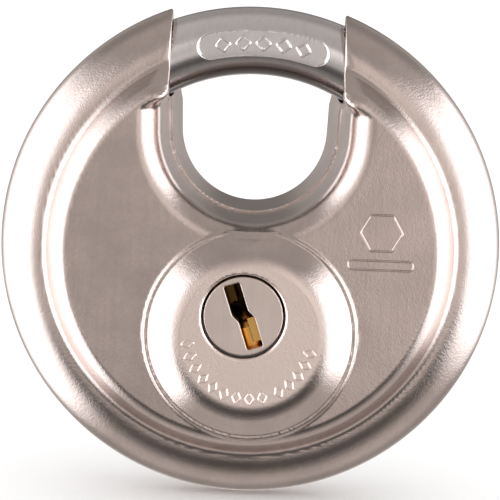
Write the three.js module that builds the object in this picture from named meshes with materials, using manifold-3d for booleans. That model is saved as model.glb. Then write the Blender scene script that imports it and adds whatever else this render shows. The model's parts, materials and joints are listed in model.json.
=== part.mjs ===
// Disc padlock, 70 mm: two pressed stainless shells around a curved shackle that a pin-tumbler
// cylinder turns through a crank.
//
// Frame: millimetres, +X right and +Z up as seen from the front, the front face towards -Y.
// The origin is the middle of the whole lock's box, on the seam between the shells. The opening
// takes the top off the rim, so the disc's own centre is DISC_CENTRE_Z above it; all sizes
// and places below are about the disc's centre.
// A polar angle is measured clockwise from straight up, as seen from the front.

import * as THREE from 'three';
import { mergeVertices } from 'three/addons/utils/BufferGeometryUtils.js';
import Module from 'manifold-3d';

const wasm = await Module();
wasm.setup();

// ---- Driving dimensions -------------------------------------------------------------------

const DISC_CENTRE_Z = 0.73;      // height of the disc's centre in the lock's frame
const DISC_RADIUS = 35;          // outside of the rim
const RIM_TUBE_RADIUS = 6.2;     // outside of the rolled rim, seen in section
const SHEET = 1.2;               // shell sheet
const PLATE_DEPTH = 10;          // seam to the outer face of the flat
const PLATE_EDGE_RADIUS = 25.8;  // where the flat turns down into the raised wall
const CREASE_RADIUS = 29;        // where the raised wall meets the rolled rim

const BOSS_HEIGHT = 2.7;         // boss top above the flat
const BOSS_TOP_RADIUS = 10.5;
const BOSS_SIDE_WIDTH = 3.8;     // radial width of the boss's rounded side

const SHACKLE_RADIUS = 4.75;
const SHACKLE_CLEARANCE = 0.3;
const SHACKLE_NOSE_ANGLE = -38;  // locked position, polar degrees
const SHACKLE_TAIL_ANGLE = 155;
const SHACKLE_TRAVEL = 66;       // degrees it turns to open

const OPENING_CENTRE_Z = 16.4;   // at the seam
const OPENING_SEAM_RADIUS = 11.75;
const OPENING_TAPER = 0.206;     // radius lost for each mm from front to rear
const OPENING_DROP = 0.0875;     // how far the centre drops for each mm from front to rear
const OPENING_WALL_LEAN = 2;     // degrees the side walls open out towards the top
const OPENING_ROUND_WIDTH = 2.3;
const OPENING_ROUND_HEIGHT = 3;

const PLUG_X = -0.55;
const PLUG_Z = -8.4;
const PLUG_RADIUS = 5.5;
const PLUG_FRONT_Y = -12.2;
const PLUG_BACK_Y = 4.65;
const CYLINDER_LEAN = 18.9;      // degrees the pin stack leans from straight down to the right
const HOUSING_RADIUS = 10.8;
const HOUSING_OFFSET = 3;        // housing axis below the plug axis, along the pin stack
const HOUSING_FRONT_Y = -10.4;
const HOUSING_BACK_Y = 3.4;
const BORE_CLEARANCE = 0.2;

const PIN_COUNT = 4;
const PIN_PITCH = 2.9;
const FIRST_PIN_Y = -8.9;
const PIN_RADIUS = 1.3;
const CHAMBER_RADIUS = 1.45;
const KEY_PIN_TIPS = [0.9, -0.2, 0.5, 1.4];   // tip distance from the plug axis: the key code

const KEYWAY_WIDTH = 2.3;
const KEYWAY_HEIGHT = 9.5;
const KEYWAY_JOG = 0.3;          // sideways step of the keyway's ward
const KEYWAY_BACK_Y = 1.5;

const CRANK_FRONT_Y = 4.85;
const CRANK_BACK_Y = 6;
const CRANK_PIN_RADIUS = 1.1;
const CARRIER_FRONT_Y = 6.5;
const CARRIER_BACK_Y = 8.3;
const LUG_ANGLE_WIDTH = 4;       // width of the carrier's lug along the arc, mm

// ---- Values that follow from them ---------------------------------------------------------

const RIM_CENTRE_RADIUS = DISC_RADIUS - RIM_TUBE_RADIUS;
const CHANNEL_RADIUS = SHACKLE_RADIUS + SHACKLE_CLEARANCE;
const SHACKLE_INNER_RADIUS = RIM_CENTRE_RADIUS - SHACKLE_RADIUS;
const INNER_PLATE_DEPTH = PLATE_DEPTH - SHEET;
const BOSS_DEPTH = PLATE_DEPTH + BOSS_HEIGHT;

const CYLINDER_TURN = -CYLINDER_LEAN;
const STACK_X = Math.sin(THREE.MathUtils.degToRad(CYLINDER_LEAN));
const STACK_Z = -Math.cos(THREE.MathUtils.degToRad(CYLINDER_LEAN));
const BOSS_X = PLUG_X + HOUSING_OFFSET * STACK_X;
const BOSS_Z = PLUG_Z + HOUSING_OFFSET * STACK_Z;

// The crank pin's circle passes through the disc centre, so a straight radial slot turns the
// carrier exactly half as far as the plug (an angle at the rim is half the angle at the centre).
const CRANK_RADIUS = Math.hypot(PLUG_X, PLUG_Z);
const PLUG_POLAR = 180 + THREE.MathUtils.radToDeg(Math.atan2(-PLUG_X, -PLUG_Z));
const CRANK_START = 180 - SHACKLE_TRAVEL;
const CARRIER_START = (CRANK_START + PLUG_POLAR) / 2;

// ---- Geometry helpers ---------------------------------------------------------------------

const rad = THREE.MathUtils.degToRad;

/** The point (X, Z) at a radius and a polar angle. */
function polar(radius, angle) {
  return new THREE.Vector2(radius * Math.sin(rad(angle)), radius * Math.cos(rad(angle)));
}

/** A closed geometry as a manifold solid, its faces turned outwards. */
function solid(geometry) {
  const bare = geometry.index ? geometry.toNonIndexed() : geometry.clone();
  bare.deleteAttribute('normal');
  bare.deleteAttribute('uv');
  const merged = mergeVertices(bare, 1e-5);
  const vertices = Float32Array.from(merged.attributes.position.array);
  const triangles = [];
  const index = merged.index.array;
  let volume = 0;
  const corner = [new THREE.Vector3(), new THREE.Vector3(), new THREE.Vector3()];
  for (let i = 0; i < index.length; i += 3) {
    const [a, b, c] = [index[i], index[i + 1], index[i + 2]];
    if (a === b || b === c || c === a) continue;
    [a, b, c].forEach((vertex, k) => corner[k].fromArray(vertices, 3 * vertex));
    volume += corner[0].dot(corner[1].cross(corner[2]));
    triangles.push(a, b, c);
  }
  if (volume < 0) triangles.reverse();
  return new wasm.Manifold(new wasm.Mesh({
    numProp: 3,
    vertProperties: vertices,
    triVerts: Uint32Array.from(triangles),
  }));
}

/** A manifold solid as a geometry for a mesh. */
function toGeometry(body) {
  const mesh = body.getMesh();
  const geometry = new THREE.BufferGeometry();
  geometry.setAttribute('position', new THREE.BufferAttribute(mesh.vertProperties, 3));
  geometry.setIndex(new THREE.BufferAttribute(mesh.triVerts, 1));
  const flat = geometry.toNonIndexed();
  flat.computeVertexNormals();
  return flat;
}

/** Everything in a list of solids, joined. */
function join(bodies) {
  return bodies.reduce((whole, body) => whole.add(body));
}

/** An outline in X and Z given thickness between two depths. */
function plate(shape, yFront, yBack, curveSegments = 12) {
  const geometry = new THREE.ExtrudeGeometry(shape, {
    depth: yBack - yFront,
    bevelEnabled: false,
    curveSegments,
  });
  geometry.rotateX(Math.PI / 2);
  geometry.translate(0, yBack, 0);
  return solid(geometry);
}

/** A round bar along Y. */
function rod(x, z, radius, yFront, yBack, segments = 24) {
  const geometry = new THREE.CylinderGeometry(radius, radius, yBack - yFront, segments);
  geometry.translate(x, (yFront + yBack) / 2, z);
  return solid(geometry);
}

/** A block given by its centre and size. */
function block(x, y, z, width, depth, height) {
  const geometry = new THREE.BoxGeometry(width, depth, height);
  geometry.translate(x, y, z);
  return solid(geometry);
}

/** A turned piece about an axis along Y, from [radius, y] points. */
function turned(points, segments = 48, x = 0, z = 0) {
  const profile = points.map(([radius, y]) => new THREE.Vector2(radius, y));
  const geometry = new THREE.LatheGeometry(profile, segments);
  geometry.translate(x, 0, z);
  return solid(geometry);
}

/** Points along a quarter ellipse from the angle `from` to `to`, in degrees. */
function arcPoints(centreR, centreY, radiusR, radiusY, from, to, steps) {
  const points = [];
  for (let i = 0; i <= steps; i += 1) {
    const angle = rad(from + ((to - from) * i) / steps);
    points.push([centreR + radiusR * Math.cos(angle), centreY + radiusY * Math.sin(angle)]);
  }
  return points;
}

/** A sector of a ring between two radii and two polar angles. */
function ringSector(innerRadius, outerRadius, fromAngle, toAngle) {
  const shape = new THREE.Shape();
  shape.absarc(0, 0, outerRadius, rad(90 - fromAngle), rad(90 - toAngle), true);
  shape.absarc(0, 0, innerRadius, rad(90 - toAngle), rad(90 - fromAngle), false);
  shape.closePath();
  return shape;
}

/** A circular arc about the disc axis, between two polar angles. */
class DiscArc extends THREE.Curve {
  constructor(radius, fromAngle, toAngle) {
    super();
    this.radius = radius;
    this.fromAngle = fromAngle;
    this.toAngle = toAngle;
  }

  getPoint(t, target = new THREE.Vector3()) {
    const point = polar(this.radius, this.fromAngle + (this.toAngle - this.fromAngle) * t);
    return target.set(point.x, 0, point.y);
  }
}

/** A coil about the Z axis, from z = start downwards. */
class Coil extends THREE.Curve {
  constructor(radius, turns, start, length) {
    super();
    this.radius = radius;
    this.turns = turns;
    this.start = start;
    this.length = length;
  }

  getPoint(t, target = new THREE.Vector3()) {
    const angle = 2 * Math.PI * this.turns * t;
    const [x, y] = [this.radius * Math.cos(angle), this.radius * Math.sin(angle)];
    return target.set(x, y, this.start - this.length * t);
  }
}

// ---- The model and its materials ----------------------------------------------------------

const lock = new THREE.Group();
lock.position.z = DISC_CENTRE_Z;
const cylinder = new THREE.Group();
cylinder.position.set(PLUG_X, 0, PLUG_Z);
cylinder.rotation.y = rad(CYLINDER_TURN);
lock.add(cylinder);

const FINISHES = {
  stainless: { color: 0xb6aaa2, roughness: 0.34, metalness: 1 },
  hardenedSteel: { color: 0xa9a6a6, roughness: 0.4, metalness: 1 },
  nickel: { color: 0xb9b2a6, roughness: 0.3, metalness: 1 },
  castZinc: { color: 0x8e8f92, roughness: 0.55, metalness: 0.9 },
  brass: { color: 0xc59a45, roughness: 0.32, metalness: 1 },
  springSteel: { color: 0x9a9a9c, roughness: 0.35, metalness: 1 },
};

/** Adds a named piece to a group, in one of the finishes. */
function addPiece(group, name, body, finish) {
  const mesh = new THREE.Mesh(toGeometry(body), new THREE.MeshStandardMaterial(FINISHES[finish]));
  mesh.name = name;
  group.add(mesh);
  return mesh;
}

// ---- Shells -------------------------------------------------------------------------------

const AROUND = 48;   // facets around the disc

/** A disc half turned from a profile that runs outwards along the seam and back over the flat. */
function discHalf(edge, inset, side) {
  const wall = arcPoints(
    PLATE_EDGE_RADIUS,
    RIM_TUBE_RADIUS,
    CREASE_RADIUS - PLATE_EDGE_RADIUS - inset,
    PLATE_DEPTH - RIM_TUBE_RADIUS - inset,
    0, 90, 3,
  );
  const profile = [...edge, ...wall, [0, PLATE_DEPTH - inset]];
  return turned(profile.map(([radius, depth]) => [radius, side * depth]), AROUND);
}

/** The outside of the disc: rolled rim, crease, raised wall, flat. */
function discOutside(side) {
  const rim = arcPoints(RIM_CENTRE_RADIUS, 0, RIM_TUBE_RADIUS, RIM_TUBE_RADIUS, 0, 90, 4);
  return discHalf([[0, 0], ...rim], 0, side);
}

/** The hollow under the flat and the raised wall; the shackle channel hollows the rim itself. */
function discHollow(side) {
  const edge = [[0, -1], [RIM_CENTRE_RADIUS, -1], [RIM_CENTRE_RADIUS, CHANNEL_RADIUS - 0.5]];
  return discHalf(edge, SHEET, side);
}

/** The boss, or the hollow inside it. */
function bossBody(inset, side) {
  const base = PLATE_DEPTH - inset;
  const flank = arcPoints(BOSS_TOP_RADIUS, base, BOSS_SIDE_WIDTH - inset, BOSS_HEIGHT, 0, 90, 4);
  const profile = [[0, base - 1], [BOSS_TOP_RADIUS + BOSS_SIDE_WIDTH - inset, base - 1], ...flank,
    [0, base + BOSS_HEIGHT]];
  return turned(profile.map(([radius, depth]) => [radius, side * depth]), 36, BOSS_X, BOSS_Z);
}

/** The space of the shackle opening, or that space grown by the sheet around it. */
function openingBody(grow, side) {
  const taper = -side * OPENING_TAPER;
  const levels = [{ depth: -1, radius: OPENING_SEAM_RADIUS }, { depth: 0, radius: OPENING_SEAM_RADIUS }];
  const roundStart = PLATE_DEPTH - OPENING_ROUND_HEIGHT;
  for (const angle of [0, 30, 60, 90]) {
    const spread = 1 - Math.cos(rad(angle));
    levels.push({
      depth: roundStart + (OPENING_ROUND_HEIGHT - grow) * Math.sin(rad(angle)),
      radius: OPENING_SEAM_RADIUS + taper * roundStart + OPENING_ROUND_WIDTH * spread,
      shrink: spread,
    });
  }
  levels.push({ ...levels.at(-1), depth: BOSS_DEPTH + 2 });

  const topZ = DISC_RADIUS + 8;
  const top = OPENING_SEAM_RADIUS + (topZ - OPENING_CENTRE_Z) * Math.tan(rad(OPENING_WALL_LEAN));
  const outline = new THREE.Shape();
  outline.moveTo(top, topZ);
  outline.lineTo(-top, topZ);
  outline.lineTo(-OPENING_SEAM_RADIUS, OPENING_CENTRE_Z);
  outline.absarc(0, OPENING_CENTRE_Z, OPENING_SEAM_RADIUS, Math.PI, 2 * Math.PI, false);
  outline.closePath();

  const geometry = new THREE.ExtrudeGeometry(outline, {
    depth: levels.length - 1,
    steps: levels.length - 1,
    bevelEnabled: false,
    curveSegments: 16,
  });
  const position = geometry.attributes.position;
  for (let i = 0; i < position.count; i += 1) {
    const level = levels[Math.round(position.getZ(i))];
    const scale = (level.radius + grow * (1 - (level.shrink ?? 0))) / OPENING_SEAM_RADIUS;
    const centreZ = OPENING_CENTRE_Z - side * OPENING_DROP * Math.max(level.depth, 0);
    position.setXYZ(i, position.getX(i) * scale, side * level.depth,
      centreZ + (position.getY(i) - OPENING_CENTRE_Z) * scale);
  }
  return solid(geometry);
}

/** The ring-shaped channel that the shackle runs in. */
function shackleChannel() {
  const circle = arcPoints(RIM_CENTRE_RADIUS, 0, CHANNEL_RADIUS, CHANNEL_RADIUS, 0, 360, 16);
  return turned(circle, AROUND);
}

/** One pressed shell with its rim, raised flat, boss and opening. */
function shell(side) {
  const outside = discOutside(side).add(bossBody(0, side))
    .subtract(openingBody(0, side));
  const hollow = discHollow(side).add(bossBody(SHEET, side))
    .subtract(openingBody(SHEET, side))
    .add(shackleChannel());
  return outside.subtract(hollow);
}

function addShells() {
  const aperture = rod(PLUG_X, PLUG_Z, PLUG_RADIUS + 0.35, -BOSS_DEPTH - 1, -PLATE_DEPTH, 40);
  addPiece(lock, 'front_shell', shell(-1).subtract(aperture), 'stainless');
  addPiece(lock, 'rear_shell', shell(1), 'stainless');
}

// ---- Shackle and the carrier that drives it -------------------------------------------------

const LUG_THICKNESS = 3.2;
const LUG_OUTER_RADIUS = 27.4;
const CARRIER_PIN_RADIUS = 1.1;
const CARRIER_PIN_ORBIT = 26;
const TAB_INNER_RADIUS = 22.4;
const TAB_OUTER_RADIUS = SHACKLE_INNER_RADIUS - 0.25;
const FIT = 0.15;                // clearance of a pin in its hole

function addShackle() {
  const section = new THREE.Shape();
  section.absarc(0, 0, SHACKLE_RADIUS, 0, 2 * Math.PI, false);
  const bar = solid(new THREE.ExtrudeGeometry(section, {
    steps: 32,
    curveSegments: 8,
    extrudePath: new DiscArc(RIM_CENTRE_RADIUS, SHACKLE_NOSE_ANGLE, SHACKLE_TAIL_ANGLE),
  }));

  const recessLength = 18.2;
  const recessWidth = 3.8;
  const recessFloor = SHACKLE_RADIUS - 0.45;
  const recessCentre = 1.5;
  const straight = (recessLength - recessWidth) / 2;
  const halfAngle = THREE.MathUtils.radToDeg(straight / RIM_CENTRE_RADIUS);
  const ends = [recessCentre - halfAngle, recessCentre + halfAngle];
  const inner = RIM_CENTRE_RADIUS - recessWidth / 2;
  const outer = RIM_CENTRE_RADIUS + recessWidth / 2;
  const middle = plate(ringSector(inner, outer, ...ends), -SHACKLE_RADIUS - 1, -recessFloor);
  const rounds = ends.map((angle) => {
    const centre = polar(RIM_CENTRE_RADIUS, angle);
    return rod(centre.x, centre.y, recessWidth / 2, -SHACKLE_RADIUS - 1, -recessFloor, 20);
  });

  const slotHalfAngle = THREE.MathUtils.radToDeg((LUG_ANGLE_WIDTH / 2 + 0.3) / CARRIER_PIN_ORBIT);
  const slotHalf = LUG_THICKNESS / 2 + 0.3;
  const slotSector = ringSector(
    TAB_INNER_RADIUS, LUG_OUTER_RADIUS + 0.4, CARRIER_START - slotHalfAngle, CARRIER_START + slotHalfAngle,
  );
  const lugSlot = plate(slotSector, -slotHalf, slotHalf);
  const pinAt = polar(CARRIER_PIN_ORBIT, CARRIER_START);
  const pinHole = rod(pinAt.x, pinAt.y, CARRIER_PIN_RADIUS + FIT, -9, 9, 20);
  addPiece(lock, 'shackle', bar.subtract(join([middle, ...rounds, lugSlot, pinHole])), 'hardenedSteel');
}

function addCarrier() {
  const group = new THREE.Group();
  group.rotation.y = rad(CARRIER_START);
  lock.add(group);

  const armInner = 11.8;
  const armHalfWidth = 3.8;
  const armOuter = 25;
  const arm = new THREE.Shape();
  arm.moveTo(-armHalfWidth, armInner);
  arm.lineTo(armHalfWidth, armInner);
  arm.lineTo(armHalfWidth, armOuter - 0.6);
  arm.lineTo(-armHalfWidth, armOuter - 0.6);
  arm.closePath();
  const slotHalf = CRANK_PIN_RADIUS + 0.25;
  const slotOuter = 2 * CRANK_RADIUS;
  const slot = block(0, (CARRIER_FRONT_Y + CARRIER_BACK_Y) / 2, slotOuter / 2 + armInner / 2 - 1,
    2 * slotHalf, 4, slotOuter - armInner + 2);
  const slotEnd = rod(0, slotOuter, slotHalf, CARRIER_FRONT_Y - 1, CARRIER_BACK_Y + 1, 20);

  const lugHalfWidth = LUG_ANGLE_WIDTH / 2;
  const lugHalf = LUG_THICKNESS / 2;
  const tab = block(0, (CARRIER_BACK_Y - lugHalf) / 2, (TAB_INNER_RADIUS + TAB_OUTER_RADIUS) / 2,
    2 * lugHalfWidth, CARRIER_BACK_Y + lugHalf, TAB_OUTER_RADIUS - TAB_INNER_RADIUS);
  const lug = block(0, 0, (TAB_INNER_RADIUS + LUG_OUTER_RADIUS) / 2,
    2 * lugHalfWidth, LUG_THICKNESS, LUG_OUTER_RADIUS - TAB_INNER_RADIUS);
  const pinHole = rod(0, CARRIER_PIN_ORBIT, CARRIER_PIN_RADIUS + FIT, -9, 9, 20);
  const carrier = join([plate(arm, CARRIER_FRONT_Y, CARRIER_BACK_Y), tab, lug])
    .subtract(join([slot, slotEnd, pinHole]));
  addPiece(group, 'shackle_carrier', carrier, 'hardenedSteel');

  const pin = rod(0, CARRIER_PIN_ORBIT, CARRIER_PIN_RADIUS, -3.6, 3.6, 20);
  addPiece(group, 'carrier_pin', pin, 'hardenedSteel');
}

// ---- Lock cylinder: housing, plug, pins ------------------------------------------------------
// Everything below is drawn in the cylinder's own frame: its origin on the plug axis, the pin
// stack straight down (-Z), and the whole group then leans by CYLINDER_TURN.

const COVER_DEPTH = 12.4;        // bottom of the chambers, below the plug axis
const COVER_THICKNESS = 0.9;
const COVER_WIDTH = 3.2;
const POST_SPIGOT_RADIUS = 1.25;
const POST_SHOULDER_RADIUS = 2.2;
const POST_SPIGOT_DEPTH = 5;
const POST_ORBIT = 8.6;          // post distance from the plug axis
const POST_SPREAD = 60;          // polar angle of the posts either side of straight up

/** The depth at which a pin chamber sits. */
function chamberY(index) {
  return FIRST_PIN_Y + PIN_PITCH * index;
}

/** A round bar pointing down the pin stack, between two distances from the plug axis. */
function stackRod(index, radius, from, to, segments = 14) {
  const geometry = new THREE.CylinderGeometry(radius, radius, to - from, segments);
  geometry.rotateX(Math.PI / 2);
  geometry.translate(0, chamberY(index), -(from + to) / 2);
  return solid(geometry);
}

/** The two places, left and right, where the spacer posts enter the housing. */
function postPlaces() {
  return [-POST_SPREAD, POST_SPREAD].map((angle) => polar(POST_ORBIT, angle + CYLINDER_LEAN));
}

function addHousing() {
  const chamfer = 1.5;
  const body = turned([
    [0, HOUSING_FRONT_Y],
    [HOUSING_RADIUS - chamfer, HOUSING_FRONT_Y],
    [HOUSING_RADIUS, HOUSING_FRONT_Y + chamfer],
    [HOUSING_RADIUS, HOUSING_BACK_Y],
    [0, HOUSING_BACK_Y],
  ], 48, 0, -HOUSING_OFFSET);
  const lugRadius = POST_SHOULDER_RADIUS + 0.4;
  const lugFront = HOUSING_BACK_Y - POST_SPIGOT_DEPTH - 1.2;
  const lugs = postPlaces().map(({ x, y }) => rod(x, y, lugRadius, lugFront, HOUSING_BACK_Y, 24));
  const bore = rod(0, 0, PLUG_RADIUS + BORE_CLEARANCE, HOUSING_FRONT_Y - 1, HOUSING_BACK_Y + 1, 40);
  const chambers = [];
  for (let i = 0; i < PIN_COUNT; i += 1) {
    chambers.push(stackRod(i, CHAMBER_RADIUS, PLUG_RADIUS - 1, COVER_DEPTH + 0.5));
  }
  const grooveLength = HOUSING_BACK_Y - HOUSING_FRONT_Y - 1.2;
  const groove = block(0, (HOUSING_BACK_Y + HOUSING_FRONT_Y) / 2, -COVER_DEPTH - 2,
    COVER_WIDTH + 0.4, grooveLength, 4);
  const sockets = postPlaces().map(({ x, y }) => (
    rod(x, y, POST_SPIGOT_RADIUS + FIT, HOUSING_BACK_Y - POST_SPIGOT_DEPTH - 0.4, HOUSING_BACK_Y + 1, 16)
  ));
  const housing = join([body, ...lugs]).subtract(join([bore, ...chambers, groove, ...sockets]));
  addPiece(cylinder, 'cylinder_housing', housing, 'castZinc');

  const cover = block(0, (HOUSING_BACK_Y + HOUSING_FRONT_Y) / 2, -COVER_DEPTH - 0.1 - COVER_THICKNESS / 2,
    COVER_WIDTH, grooveLength - 0.4, COVER_THICKNESS);
  addPiece(cylinder, 'chamber_cover', cover, 'brass');
}

function addSpacerPosts() {
  postPlaces().forEach(({ x, y }, i) => {
    const post = turned([
      [0, HOUSING_BACK_Y - POST_SPIGOT_DEPTH],
      [POST_SPIGOT_RADIUS, HOUSING_BACK_Y - POST_SPIGOT_DEPTH],
      [POST_SPIGOT_RADIUS, HOUSING_BACK_Y + 0.1],
      [POST_SHOULDER_RADIUS, HOUSING_BACK_Y + 0.1],
      [POST_SHOULDER_RADIUS, INNER_PLATE_DEPTH - 0.1],
      [0, INNER_PLATE_DEPTH - 0.1],
    ], 20, x, y);
    addPiece(cylinder, i === 0 ? 'spacer_post_left' : 'spacer_post_right', post, 'hardenedSteel');
  });
}

function addDrillGuard() {
  const back = HOUSING_FRONT_Y - 0.15;
  const thickness = 0.8;
  const radius = 9.2;
  const plugGap = PLUG_RADIUS + 0.5;
  const disc = rod(0, -HOUSING_OFFSET, radius, back - thickness, back, 40);
  const hole = rod(0, 0, plugGap, back - 2, back + 1, 40);
  const mouth = block(0, back, radius / 2, 2 * plugGap, 4, radius);
  addPiece(cylinder, 'drill_guard_plate', disc.subtract(hole).subtract(mouth), 'hardenedSteel');
}

/** Outline of the keyway: a slot whose upper and lower halves are stepped sideways. */
function keywayOutline() {
  const half = KEYWAY_WIDTH / 2;
  const end = KEYWAY_HEIGHT / 2;
  const step = 0.8;
  const shape = new THREE.Shape();
  shape.moveTo(-half - KEYWAY_JOG, end);
  shape.lineTo(-half - KEYWAY_JOG, step);
  shape.lineTo(-half + KEYWAY_JOG, -step);
  shape.lineTo(-half + KEYWAY_JOG, -end);
  shape.lineTo(half + KEYWAY_JOG, -end);
  shape.lineTo(half + KEYWAY_JOG, -step);
  shape.lineTo(half - KEYWAY_JOG, step);
  shape.lineTo(half - KEYWAY_JOG, end);
  shape.closePath();
  return shape;
}

const CLIP_GROOVE_Y = [3.7, 4.35];
const CLIP_GROOVE_RADIUS = 4.7;
const TAIL_RADIUS = 3;
const TAIL_HALF_FLATS = 2.2;
const SCREW_RADIUS = 1;

/** The plug's tail section, round with two flats, grown by a clearance. */
function tailBody(clearance, yFront, yBack) {
  const round = rod(0, 0, TAIL_RADIUS + clearance, yFront, yBack, 24);
  const flats = block(0, (yFront + yBack) / 2, 0, 2 * (TAIL_HALF_FLATS + clearance), yBack - yFront + 2, 10);
  return round.intersect(flats);
}

function addPlug() {
  const bevel = 0.25;
  const barrel = turned([
    [0, PLUG_FRONT_Y],
    [PLUG_RADIUS - bevel, PLUG_FRONT_Y],
    [PLUG_RADIUS, PLUG_FRONT_Y + bevel],
    [PLUG_RADIUS, CLIP_GROOVE_Y[0]],
    [CLIP_GROOVE_RADIUS, CLIP_GROOVE_Y[0]],
    [CLIP_GROOVE_RADIUS, CLIP_GROOVE_Y[1]],
    [PLUG_RADIUS, CLIP_GROOVE_Y[1]],
    [PLUG_RADIUS, PLUG_BACK_Y],
    [0, PLUG_BACK_Y],
  ], 40);
  const tail = tailBody(0, PLUG_BACK_Y - 1, CRANK_BACK_Y);
  const keyway = plate(keywayOutline(), PLUG_FRONT_Y - 1, KEYWAY_BACK_Y);
  const screwHole = rod(0, 0, SCREW_RADIUS + FIT, KEYWAY_BACK_Y + 0.6, CRANK_BACK_Y + 1, 16);
  const chambers = [];
  for (let i = 0; i < PIN_COUNT; i += 1) {
    chambers.push(stackRod(i, CHAMBER_RADIUS, KEY_PIN_TIPS[i] - 1.2, PLUG_RADIUS + 1));
  }
  addPiece(cylinder, 'plug', barrel.add(tail).subtract(join([keyway, screwHole, ...chambers])), 'nickel');
}

function addClip() {
  const outer = 6.2;
  const inner = CLIP_GROOVE_RADIUS + FIT;
  const mouthHalfAngle = 38;
  const ring = ringSector(inner, outer, mouthHalfAngle, 360 - mouthHalfAngle);
  addPiece(cylinder, 'plug_clip', plate(ring, CLIP_GROOVE_Y[0] + 0.05, CLIP_GROOVE_Y[1] - 0.05, 14),
    'springSteel');
}

function addCrank() {
  const direction = CRANK_START - CYLINDER_TURN;
  const end = polar(CRANK_RADIUS, direction);
  const hubRadius = 4.3;
  const endRadius = 2.1;
  const hub = rod(0, 0, hubRadius, CRANK_FRONT_Y, CRANK_BACK_Y, 32);
  const tip = rod(end.x, end.y, endRadius, CRANK_FRONT_Y, CRANK_BACK_Y, 24);
  const side = polar(endRadius, direction + 90);
  const web = new THREE.Shape([
    new THREE.Vector2(side.x, side.y),
    new THREE.Vector2(end.x + side.x, end.y + side.y),
    new THREE.Vector2(end.x - side.x, end.y - side.y),
    new THREE.Vector2(-side.x, -side.y),
  ]);
  const holes = join([
    tailBody(FIT, CRANK_FRONT_Y - 1, CRANK_BACK_Y + 1),
    rod(end.x, end.y, CRANK_PIN_RADIUS + FIT, CRANK_FRONT_Y - 1, CRANK_BACK_Y + 1, 20),
  ]);
  const arm = join([hub, tip, plate(web, CRANK_FRONT_Y, CRANK_BACK_Y)]).subtract(holes);
  addPiece(cylinder, 'crank_arm', arm, 'hardenedSteel');

  const pin = rod(end.x, end.y, CRANK_PIN_RADIUS, CRANK_FRONT_Y, CARRIER_BACK_Y + 0.2, 20);
  addPiece(cylinder, 'crank_pin', pin, 'hardenedSteel');

  const headRadius = 2.7;
  const headHeight = 1.1;
  const headFront = CRANK_BACK_Y + 0.1;
  const screw = turned([
    [0, KEYWAY_BACK_Y + 1],
    [SCREW_RADIUS, KEYWAY_BACK_Y + 1],
    [SCREW_RADIUS, headFront],
    [headRadius, headFront],
    [headRadius, headFront + headHeight * 0.6],
    [headRadius * 0.7, headFront + headHeight],
    [0, headFront + headHeight],
  ], 20);
  const driveSlot = block(0, headFront + headHeight, 0, 6, 0.9, 0.6);
  addPiece(cylinder, 'crank_screw', screw.subtract(driveSlot), 'springSteel');
}

/** Key pins, driver pins and springs, with the correct key's cuts lifting them to the shear line. */
function addPins() {
  const keyPinEnd = PLUG_RADIUS - 0.2;
  const driverStart = PLUG_RADIUS + BORE_CLEARANCE + 0.1;
  const driverLength = 3;
  const wire = 0.2;
  for (let i = 0; i < PIN_COUNT; i += 1) {
    const number = i + 1;
    const tip = KEY_PIN_TIPS[i];
    const cone = new THREE.CylinderGeometry(PIN_RADIUS, PIN_RADIUS * 0.45, 0.8, 14);
    cone.rotateX(-Math.PI / 2);
    cone.translate(0, chamberY(i), -(tip + 0.4));
    const keyPin = stackRod(i, PIN_RADIUS, tip + 0.8, keyPinEnd).add(solid(cone));
    addPiece(cylinder, `key_pin_${number}`, keyPin, 'brass');

    const driver = stackRod(i, PIN_RADIUS, driverStart, driverStart + driverLength);
    addPiece(cylinder, `driver_pin_${number}`, driver, 'brass');

    const springTop = driverStart + driverLength + wire + 0.05;
    const springLength = COVER_DEPTH - wire - 0.05 - springTop;
    const section = new THREE.Shape();
    section.absarc(0, 0, wire, 0, 2 * Math.PI, false);
    const coil = new THREE.ExtrudeGeometry(section, {
      steps: 30,
      curveSegments: 3,
      extrudePath: new Coil(PIN_RADIUS - wire - 0.05, 4, -springTop, springLength),
    });
    coil.translate(0, chamberY(i), 0);
    addPiece(cylinder, `pin_spring_${number}`, solid(coil), 'springSteel');
  }
}

// ---- Blocks that guide the shackle and keep the shells from being crushed ---------------------

function addGuideBlocks() {
  const outer = SHACKLE_INNER_RADIUS - 0.35;
  const inner = outer - 4;
  const from = 62;
  const to = 128;
  const depth = INNER_PLATE_DEPTH - 0.2;
  const blocks = [['right_guide_block', from, to], ['left_guide_block', 360 - to, 360 - from]];
  for (const [name, start, end] of blocks) {
    addPiece(lock, name, plate(ringSector(inner, outer, start, end), -depth, depth, 16), 'castZinc');
  }
}

addShells();
addShackle();
addCarrier();
addHousing();
addSpacerPosts();
addDrillGuard();
addPlug();
addClip();
addCrank();
addPins();
addGuideBlocks();

export default lock;
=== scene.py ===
"""Disc padlock: the finished look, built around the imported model.

Shapes are written as signed distances in millimetres, in the disc's own frame: origin at the
centre of the disc, +X right, +Z up, the front face towards -Y. contour() turns each one into a
mesh in the lock's frame, in metres. Polar angles run clockwise from straight up.
"""
import functools
import json
import math

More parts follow.
